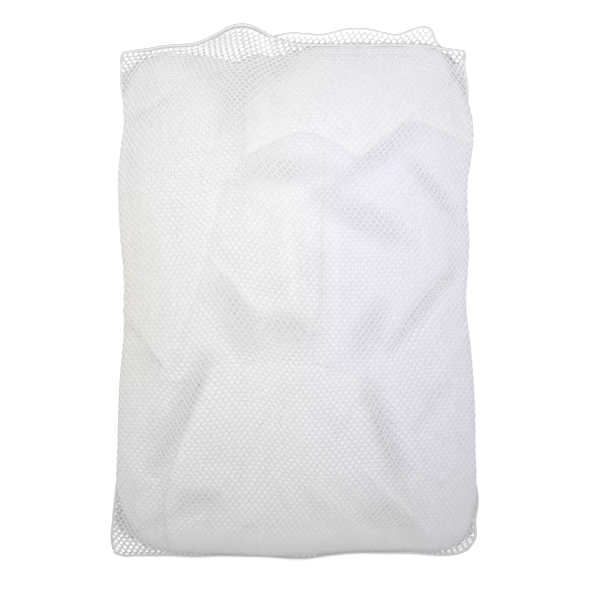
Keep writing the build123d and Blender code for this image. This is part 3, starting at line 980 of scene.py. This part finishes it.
class Finish:
    """A material under construction, with one Principled shader."""

    def __init__(self, name, **constants):
        self.material = bpy.data.materials.get(name) or bpy.data.materials.new(name)
        self.material.use_nodes = True
        self.tree = self.material.node_tree
        self.tree.nodes.clear()
        self.shader = self.add("ShaderNodeBsdfPrincipled", {}, {})
        for socket, value in constants.items():
            self.shader.inputs[socket.replace("_", " ").title()].default_value = value
        output = self.add("ShaderNodeOutputMaterial", {}, {})
        self.tree.links.new(self.shader.outputs[0], output.inputs["Surface"])

    def add(self, kind, settings, inputs):
        """A node of a kind, with its settings set first and then the values or links of its sockets."""
        node = self.tree.nodes.new(kind)
        for setting, value in settings.items():
            setattr(node, setting, value)
        for socket, value in inputs.items():
            if isinstance(value, Wire):
                self.tree.links.new(value.socket, node.inputs[socket])
            else:
                node.inputs[socket].default_value = value
        return node

    def wire(self, node, output):
        return Wire(self, node.outputs[output])

    def place(self):
        """Object coordinates, and their X and Y."""
        where = self.wire(self.add("ShaderNodeTexCoord", {}, {}), "Object")
        split = self.add("ShaderNodeSeparateXYZ", {}, {0: where})
        return where, self.wire(split, 0), self.wire(split, 1)

    def noise(self, vector, scale, detail=3.0, roughness=0.5):
        inputs = {"Vector": vector, "Scale": scale, "Detail": detail, "Roughness": roughness}
        return self.wire(self.add("ShaderNodeTexNoise", {}, inputs), 0)

    def mixed(self, factor, first, second, blend="MIX"):
        """A colour between two, or between the first and the two multiplied."""
        settings = {"data_type": "RGBA", "blend_type": blend}
        return self.wire(self.add("ShaderNodeMix", settings, {0: factor, 6: first, 7: second}), 2)

    def bumped(self, height, depth, strength=1.0):
        """Raise the shader's normal by a height from 0 to 1 that stands for depth metres."""
        node = self.add("ShaderNodeBump", {}, {"Strength": strength, "Distance": depth, "Height": height})
        self.set("Normal", self.wire(node, 0))

    def set(self, socket, wire):
        self.tree.links.new(wire.socket, self.shader.inputs[socket])


WHITE = (1.0, 1.0, 1.0, 1.0)
BLACK = (0.0, 0.0, 0.0, 1.0)
# Painted shade and random mottle: the grey that the linens turn to in their crease hollows and where the slow
# noise is low.
PAINTED_SHADE_MOTTLE_GREY = (0.955, 0.955, 0.955, 1.0)
# Painted warm light near the bag's left edge: the warm tints that the linens and the net's yarn take there.
LINEN_WARM_LIGHT = (0.785, 0.765, 0.695, 1.0)
YARN_WARM_LIGHT = (0.925, 0.905, 0.860, 1.0)
YARN_DARK = 0.93  # the yarn's darkest shade as a share of its colour
STRANDS = 9000.0  # the filaments' spacing as an angle to the metre
STRAND_DEPTH = 0.00012


def opaque(colour, share=1.0):
    """A colour setting, darkened to a share, with full alpha."""
    return *[min(1.0, share * c) for c in colour[:3]], 1.0


def left_edge_warm_light(x, y, slow):
    """Share of the painted warm light on the whites: most near the middle of the bag's left edge, and not at
    all elsewhere.
    """
    return (0.12 * slow - x).clamped(0.26, 0.34) * (0.75 - 0.75 * (y * y).clamped(0.0, 0.035))


def yarn_material(name, colour, settings, roughness=0.55, warm_light=False):
    """Matt polyester yarn: fine filaments along and across it, slow changes of shade, and a painted shade
    that greys it towards the sewn end, where less light falls. When asked, it also takes the painted warm
    light near the left edge, as the linens do."""
    yarn = Finish(name, roughness=roughness, sheen_weight=settings.yarn_sheen, sheen_roughness=0.5)
    where, x, y = yarn.place()
    slow = yarn.noise(where, 9.0, 2.0)
    fine = yarn.noise(where, 900.0, 2.0)
    shade = yarn.mixed(0.25 * slow + 0.5 * fine, opaque(colour), opaque(colour, YARN_DARK))
    # Painted warm light: near the middle of the left edge the yarn takes a warm tint, as the linens do.
    if warm_light:
        shade = yarn.mixed(left_edge_warm_light(x, y, slow), shade, YARN_WARM_LIGHT)
    # Painted shade: the yarn is darkened towards the sewn end, where less light falls.
    painted_end_shade = (1.0 - (y + 0.1 * slow).clamped(-0.40, 0.30)) ** 1.5 * settings.yarn_painted_shade
    yarn.set("Base Color", yarn.mixed(painted_end_shade, shade, BLACK, "MULTIPLY"))
    strands = ((x + y) * STRANDS).sin() * 0.25 + fine
    yarn.bumped(strands, STRAND_DEPTH, 0.6)
    return yarn.material


def linen_material(name, colour, tint, settings):
    """Plain woven cotton: threads each way, soft creases greyed in their hollows by a painted shade and a
    random mottle, and a tint that comes in softly.

    The tint's share rises across the heap from the left to the right and falls towards the sewn end,
    and a slow noise breaks it up. Near the middle of the left edge a warm light is painted on the cloth."""
    linen = Finish(name, roughness=0.92, sheen_weight=settings.linen_sheen, sheen_roughness=0.6)
    where, x, y = linen.place()
    thread = 2 * math.pi / settings.linen_thread
    weave = (x * thread).sin() * (y * thread).sin()
    crease = linen.noise(where, 28.0, 4.0, 0.6)
    slow = linen.noise(where, 6.0, 2.0)
    rise = (x + 0.12 * slow).clamped(-0.10, 0.20) * (0.5 + 0.5 * y.clamped(-0.38, -0.25))
    # Painted shade and random mottle: the cloth greys where the crease bump is low and where the slow noise
    # is low.
    shade = (0.55 * crease + 0.65 * slow).clamped(0.35, 0.85)
    tinted = linen.mixed(rise, opaque(colour), opaque(tint))
    # Painted warm light: near the middle of the left edge the cloth takes a warm tint.
    base = linen.mixed(left_edge_warm_light(x, y, slow), tinted, LINEN_WARM_LIGHT)
    painted_shade_and_mottle = linen.mixed(shade, PAINTED_SHADE_MOTTLE_GREY, WHITE)
    linen.set("Base Color", linen.mixed(1.0, base, painted_shade_and_mottle, "MULTIPLY"))
    linen.bumped(crease + weave * 0.012, settings.crease_depth, 1.0)
    return linen.material


def floor_material(settings):
    """Plain pale floor that glows a little, so that it stays even and bright."""
    floor = Finish("pale_floor", roughness=0.9, emission_color=WHITE, emission_strength=settings.floor_glow)
    where, _, _ = floor.place()
    tone = floor.noise(where, 1.5, 1.0).clamped(0.2, 0.8)
    colour, lighter = opaque(settings.floor_colour), opaque(settings.floor_colour, 1.01)
    floor.set("Base Color", floor.mixed(tone, colour, lighter))
    return floor.material


# Settings -----------------------------------------------------------------------------------------

class NetSettings(bpy.types.PropertyGroup):
    """Sizes of the knitted net."""

    cell_width: FloatProperty(name="Cell width", description="From one upright leg to the next",
                              default=0.01013, unit="LENGTH")
    row_height: FloatProperty(name="Row height", description="From one row of legs to the next",
                              default=0.0066, unit="LENGTH")
    leg_length: FloatProperty(name="Leg length", description="Length of an upright leg",
                              default=0.0028, unit="LENGTH")
    leg_width: FloatProperty(name="Leg width", description="Width of an upright leg",
                             default=0.0026, unit="LENGTH")
    diagonal_width: FloatProperty(name="Thread width", description="Width of a slanting thread",
                                  default=0.0019, unit="LENGTH")
    thread_height: FloatProperty(name="Thread height", description="Thickness of the net",
                                 default=0.00064, unit="LENGTH")
    back_fullness: FloatProperty(name="Back fullness", description="Thickness of the back panel's threads",
                                 default=1.5, min=1, max=1.6)
    waviness: FloatProperty(name="Waviness", description="How far the rows of the net sway",
                            default=0.003, unit="LENGTH")
    unevenness: FloatProperty(name="Unevenness", description="How far each knot lies from its place",
                              default=0.00018, unit="LENGTH")


class SewingSettings(bpy.types.PropertyGroup):
    """Sizes of the stitching."""

    thread_radius: FloatProperty(name="Thread radius", description="Radius of the sewing thread",
                                 default=0.00042, unit="LENGTH")
    overlock_pitch: FloatProperty(name="Overlock pitch", description="From one turn to the next",
                                  default=0.0046, unit="LENGTH")
    stitch_spacing: FloatProperty(name="Stitch spacing", description="From one lockstitch to the next",
                                  default=0.0042, unit="LENGTH")


class FinishSettings(bpy.types.PropertyGroup):
    """Colours and finishes."""

    yarn_colour: FloatVectorProperty(name="Net yarn", description="Colour of the net's yarn",
                                     default=(0.925, 0.925, 0.925), size=3, min=0, max=1, subtype="COLOR")
    seam_colour: FloatVectorProperty(name="Seam yarn", description="Colour of the seams and hems",
                                     default=(0.74, 0.74, 0.74), size=3, min=0, max=1, subtype="COLOR")
    thread_colour: FloatVectorProperty(name="Sewing thread", description="Colour of the sewing thread",
                                       default=(0.82, 0.82, 0.82), size=3, min=0, max=1, subtype="COLOR")
    white_linen: FloatVectorProperty(name="White linen", description="Colour of the white linens",
                                     default=(0.787, 0.785, 0.783), size=3, min=0, max=1, subtype="COLOR")
    cool_linen: FloatVectorProperty(name="Cool linen", description="Colour of the bluish linens",
                                    default=(0.752, 0.745, 0.843), size=3, min=0, max=1, subtype="COLOR")
    linen_thread: FloatProperty(name="Weave spacing", description="Spacing of two threads of the weave",
                                default=0.0014, unit="LENGTH")
    crease_depth: FloatProperty(name="Crease depth", description="Depth of the finest creases",
                                default=0.0016, unit="LENGTH")
    back_yarn_colour: FloatVectorProperty(name="Back net yarn", description="Colour of the back net's yarn",
                                          default=(0.86, 0.86, 0.86), size=3, min=0, max=1, subtype="COLOR")
    hem_colour: FloatVectorProperty(name="Hem yarn", description="Colour of the doubled net of the hems",
                                    default=(0.745, 0.745, 0.745), size=3, min=0, max=1, subtype="COLOR")
    # Painted shade: the hems' folded rim is darkened to draw the shade along their outer edge.
    rim_painted_shade: FloatVectorProperty(name="Hem rim", description="Colour of the hems' folded rim",
                                    default=(0.52, 0.52, 0.52), size=3, min=0, max=1, subtype="COLOR")
    # Painted shade: how far the yarn is darkened towards the sewn end, where less light falls.
    yarn_painted_shade: FloatProperty(name="Painted shade", description="How much the yarn is greyed at the sewn end",
                             default=0.17, min=0, max=1, subtype="FACTOR")
    linen_sheen: FloatProperty(name="Linen sheen", description="Strength of the linens' soft sheen",
                               default=0.15, min=0, max=1, subtype="FACTOR")
    yarn_sheen: FloatProperty(name="Yarn sheen", description="Strength of the yarn's soft sheen",
                              default=0.1, min=0, max=1, subtype="FACTOR")


class StageSettings(bpy.types.PropertyGroup):
    """Floor, light and camera."""

    floor_colour: FloatVectorProperty(name="Floor", description="Colour of the floor",
                                      default=(0.93, 0.93, 0.93), size=3, min=0, max=1, subtype="COLOR")
    floor_glow: FloatProperty(name="Floor glow", description="Light that the floor gives of its own",
                              default=0.42, min=0)
    ambient: FloatProperty(name="Ambient light", description="Strength of the even light from all round",
                           default=0.63, min=0)
    key_power: FloatProperty(name="Key light", description="Power of the large soft light",
                             default=9.1, min=0, unit="POWER")
    key_size: FloatProperty(name="Key light size", description="Side of the large soft light",
                            default=0.9, unit="LENGTH")
    view_width: FloatProperty(name="View width", description="Width of floor that the camera sees",
                              default=0.975, unit="LENGTH")
    camera_height: FloatProperty(name="Camera height", description="Height of the camera above the bag",
                                 default=4.0, unit="LENGTH")


# Operators ----------------------------------------------------------------------------------------

def cut_area(piece):
    """Area of yarn seen from one side: half of a closed mesh's surface."""
    areas = np.empty(len(piece.data.polygons))
    piece.data.polygons.foreach_get("area", areas)
    return float(areas.sum()) / 2


def bend_with_lip(piece):
    """Bake a piece's transform into its points; the piece is not bent with the lip."""
    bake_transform(piece)


def fit(piece, material, node, bends=False):
    """Give a piece its material and hide its CAD node's part; fix it to the bag, or, where it bends, only
    bake its transform.
    """
    piece.data.materials.append(material)
    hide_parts(node)
    if bends:
        bend_with_lip(piece)
    else:
        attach(piece, SIDE_BODY)


def blended(first, second, share):
    """A colour at a share of the way from the first to the second."""
    return tuple((1 - share) * a + share * b for a, b in zip(first, second))


class LAUNDRYBAG_OT_upper_linens(bpy.types.Operator):
    """Make the folded linens that show through the net"""

    bl_idname = "laundry_bag.upper_linens"
    bl_label = "Upper linens"

    def execute(self, context):
        looks = context.scene.laundry_bag_finish
        half = blended(looks.white_linen, looks.cool_linen, 0.5)
        faint = blended(looks.white_linen, looks.cool_linen, 0.25)
        finishes = {
            "linen_white": linen_material("linen_white_cotton", looks.white_linen, half, looks),
            "linen_cool": linen_material("linen_cool_cotton", faint, looks.cool_linen, looks),
        }
        for name, cloth in upper_linens().items():
            piece = linen_mesh(name + "_cloth", cloth)
            fit(piece, finishes[cloth.slot], cloth.node)
        return {"FINISHED"}


class LAUNDRYBAG_OT_base_linens(bpy.types.Operator):
    """Make the layers of folded linens at the bottom of the heap"""

    bl_idname = "laundry_bag.base_linens"
    bl_label = "Base linens"

    def execute(self, context):
        looks = context.scene.laundry_bag_finish
        finish = linen_material("linen_base_cotton", looks.white_linen, looks.white_linen, looks)
        for name, (low, high, side, mouth, node) in BASE_LAYERS.items():
            piece = base_layer_mesh(name + "_cloth", low, high, side, mouth)
            fit(piece, finish, node)
        return {"FINISHED"}


def declare_net(piece, length):
    """Work out a net piece's flat length: the given one, or its mean length where that is None. Neither the
    area nor the length is used further.

    The flat area is that of its yarn, and the yarn covers YARN_COVER of the net's outline."""
    area = cut_area(piece)
    if length is None:
        length = area / (YARN_COVER * FLAT_WIDTH)


class LAUNDRYBAG_OT_front_net(bpy.types.Operator):
    """Make the net's front panel, which is drawn over the linens, and its lip"""

    bl_idname = "laundry_bag.front_net"
    bl_label = "Front net"

    def execute(self, context):
        looks = context.scene.laundry_bag_finish
        net = context.scene.laundry_bag_net
        finish = yarn_material("net_yarn", looks.yarn_colour, looks, warm_light=True)
        panel, lip = net_pieces(front_grid(), net, 5, ("net_front", "net_front_lip"), 1.0)
        fit(panel, finish, "front_panel")
        fit(lip, finish, "front_mouth_lip", bends=True)
        declare_net(panel, PANEL_LENGTH)
        declare_net(lip, None)
        return {"FINISHED"}


class LAUNDRYBAG_OT_back_net(bpy.types.Operator):
    """Make the net's back panel, which lies under the linens, and its lip"""

    bl_idname = "laundry_bag.back_net"
    bl_label = "Back net"

    def execute(self, context):
        looks = context.scene.laundry_bag_finish
        net = context.scene.laundry_bag_net
        finish = yarn_material("back_net_yarn", looks.back_yarn_colour, looks)
        panel, lip = net_pieces(back_grid(), net, 6, ("net_back", "net_back_lip"), net.back_fullness)
        fit(panel, finish, "back_panel")
        fit(lip, finish, "back_mouth_lip")
        declare_net(panel, PANEL_LENGTH)
        declare_net(lip, None)
        return {"FINISHED"}


class LAUNDRYBAG_OT_seams(bpy.types.Operator):
    """Make the rolled seams down both sides and across the sewn end, with their overlock thread"""

    bl_idname = "laundry_bag.seams"
    bl_label = "Seams"

    def execute(self, context):
        looks = context.scene.laundry_bag_finish
        sewing = context.scene.laundry_bag_sewing
        seam_finish = yarn_material("seam_yarn", looks.seam_colour, looks, 0.6)
        thread_finish = yarn_material("sewing_thread", looks.thread_colour, looks, 0.45)
        pitch = sewing.overlock_pitch
        for side, path, node in (
            ("left", side_seam_path(0), "left_side_seam"),
            ("right", side_seam_path(1), "right_side_seam"),
            ("bottom", bottom_seam_path(), "bottom_seam"),
        ):
            path = even_path(path, SEAM_POINTS)
            rings = rope_points(path, SEAM_WIDTH, SEAM_HEIGHT_ACROSS, 12, 0.10, pitch)
            fit(tubes_object(f"{side}_seam_roll", [rings]), seam_finish, node)
            line = winding(path, SEAM_WIDTH + OVERLOCK_SLACK, SEAM_HEIGHT_ACROSS + OVERLOCK_SLACK, pitch)
            wound = tubes_object(f"{side}_overlock_thread", [tube(line, sewing.thread_radius)])
            fit(wound, thread_finish, f"{side}_seam_thread")
        return {"FINISHED"}


class LAUNDRYBAG_OT_hems(bpy.types.Operator):
    """Make the turned hems round the mouth, with the stitching that holds them"""

    bl_idname = "laundry_bag.hems"
    bl_label = "Hems"

    def execute(self, context):
        looks = context.scene.laundry_bag_finish
        sewing = context.scene.laundry_bag_sewing
        half_cell = context.scene.laundry_bag_net.cell_width / 2
        hem_finish = yarn_material("hem_yarn", looks.hem_colour, looks, 0.6)
        rim_painted_shade_finish = yarn_material("hem_rim_painted_shade", looks.rim_painted_shade, looks, 0.6)
        thread_finish = yarn_material("sewing_thread", looks.thread_colour, looks, 0.45)
        spacing = sewing.stitch_spacing
        for side, edge, height in (
            ("front", FRONT_EDGE, FRONT_EDGE_HEIGHT),
            ("back", BACK_EDGE, BACK_EDGE_HEIGHT),
        ):
            bends = side == "front"
            path = even_path(hem_path(edge, height), HEM_POINTS)
            _, right, up = path_frame(path)
            band = rope_points(path, HEM_WIDTH, HEM_HEIGHT, 14, 0.09, half_cell)
            fit(tubes_object(f"{side}_hem_band", [band]), hem_finish, f"{side}_mouth_hem", bends)
            sewn = path + right * STITCH_INSET + up * HEM_HEIGHT * 0.46
            line = stitches(sewn, spacing, spacing * 0.86, STITCH_WIDTH, STITCH_HEIGHT)
            sewn = stitches_object(f"{side}_hem_stitches", line)
            fit(sewn, thread_finish, f"{side}_hem_thread", bends)
            # The folded rim along the hem's outer edge; its darker yarn is a painted shade there.
            edging = path - right * (HEM_WIDTH / 2 - RIM_RADIUS * 0.6)
            rim = rope_points(edging, 2 * RIM_RADIUS, 2.2 * RIM_RADIUS, 8, 0.25, half_cell)
            fit(tubes_object(f"{side}_hem_rim", [rim]), rim_painted_shade_finish, f"{side}_mouth_hem", bends)
        return {"FINISHED"}


class LAUNDRYBAG_OT_bartacks(bpy.types.Operator):
    """Make the dense tacks where the hems meet the side seams"""

    bl_idname = "laundry_bag.bartacks"
    bl_label = "Bartacks"

    def execute(self, context):
        looks = context.scene.laundry_bag_finish
        radius = context.scene.laundry_bag_sewing.thread_radius
        finish = yarn_material("sewing_thread", looks.thread_colour, looks, 0.45)
        width = SEAM_WIDTH + BARTACK_SLACK
        height = SEAM_HEIGHT_ACROSS + BARTACK_SLACK
        bars = [even_path(side_seam_path(side)[-10:], SEAM_POINTS) for side in (0, 1)]
        tacks = [tube(winding(bar, width, height, 2.2 * radius), radius) for bar in bars]
        fit(tubes_object("corner_bartacks", tacks), finish, "mouth_bartacks")
        return {"FINISHED"}


def area_light(name, x, y, z, size, power):
    """A square soft light at a place, which points straight down."""
    light = bpy.data.lights.new(name, "AREA")
    light.size = size
    light.energy = power
    lamp = bpy.data.objects.new(name, light)
    lamp.location = (x, y, z)
    bpy.context.scene.collection.objects.link(lamp)


CAMERA_X = 0.0017
CAMERA_Y = -0.0054
FLOOR_REACH = 6.0
SENSOR = 36.0
MEASURE_HEIGHT = 0.03  # height at which the view's width is measured


class LAUNDRYBAG_OT_stage(bpy.types.Operator):
    """Make the pale floor, the soft light and the camera above the bag"""

    bl_idname = "laundry_bag.stage"
    bl_label = "Stage"

    def execute(self, context):
        scene = context.scene
        stage = scene.laundry_bag_stage
        corners = FLOOR_REACH * np.array([(-1, -1, 0), (1, -1, 0), (1, 1, 0), (-1, 1, 0)])
        floor = mesh_object("floor", corners, np.array([[0, 1, 2, 3]]), smooth=False)
        floor.data.materials.append(floor_material(stage))
        world = bpy.data.worlds.new("soft_studio")
        world.use_nodes = True
        background = world.node_tree.nodes["Background"]
        background.inputs["Color"].default_value = WHITE
        background.inputs["Strength"].default_value = stage.ambient
        scene.world = world
        area_light("key_light", 0.0, 0.215, 1.20, stage.key_size, stage.key_power)
        lens = bpy.data.cameras.new("camera")
        lens.sensor_width = SENSOR
        lens.lens = SENSOR * (stage.camera_height - MEASURE_HEIGHT) / stage.view_width
        lens.clip_end = 50.0
        camera = bpy.data.objects.new("camera", lens)
        camera.location = (CAMERA_X, CAMERA_Y, stage.camera_height)
        scene.collection.objects.link(camera)
        scene.camera = camera
        scene.view_settings.view_transform = "Standard"
        return {"FINISHED"}


class LAUNDRYBAG_PT_panel(bpy.types.Panel):
    """Sizes, finishes and steps of the laundry bag"""

    bl_idname = "LAUNDRYBAG_PT_panel"
    bl_label = "Mesh laundry bag"
    bl_space_type = "VIEW_3D"
    bl_region_type = "UI"
    bl_category = "Laundry bag"

    def draw(self, context):
        for group in SETTINGS:
            box = self.layout.box()
            settings = getattr(context.scene, group)
            for field in settings.bl_rna.properties:
                if field.identifier not in ("name", "rna_type"):
                    box.prop(settings, field.identifier)
        for step in STEPS:
            self.layout.operator(step.bl_idname)


SETTINGS = {
    "laundry_bag_net": NetSettings,
    "laundry_bag_sewing": SewingSettings,
    "laundry_bag_finish": FinishSettings,
    "laundry_bag_stage": StageSettings,
}
STEPS = (
    LAUNDRYBAG_OT_stage,
    LAUNDRYBAG_OT_base_linens,
    LAUNDRYBAG_OT_upper_linens,
    LAUNDRYBAG_OT_back_net,
    LAUNDRYBAG_OT_front_net,
    LAUNDRYBAG_OT_seams,
    LAUNDRYBAG_OT_hems,
    LAUNDRYBAG_OT_bartacks,
)
CLASSES = (*SETTINGS.values(), *STEPS, LAUNDRYBAG_PT_panel)


def register():
    for item in CLASSES:
        bpy.utils.register_class(item)
    for name, group in SETTINGS.items():
        setattr(bpy.types.Scene, name, PointerProperty(type=group))


def unregister():
    for name in SETTINGS:
        delattr(bpy.types.Scene, name)
    for item in reversed(CLASSES):
        bpy.utils.unregister_class(item)


def main():
    """Register the classes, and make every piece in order."""
    register()
    bpy.ops.laundry_bag.stage()
    bpy.ops.laundry_bag.base_linens()
    bpy.ops.laundry_bag.upper_linens()
    bpy.ops.laundry_bag.back_net()
    bpy.ops.laundry_bag.front_net()
    bpy.ops.laundry_bag.seams()
    bpy.ops.laundry_bag.hems()
    bpy.ops.laundry_bag.bartacks()


if __name__ == "__main__":
    main()
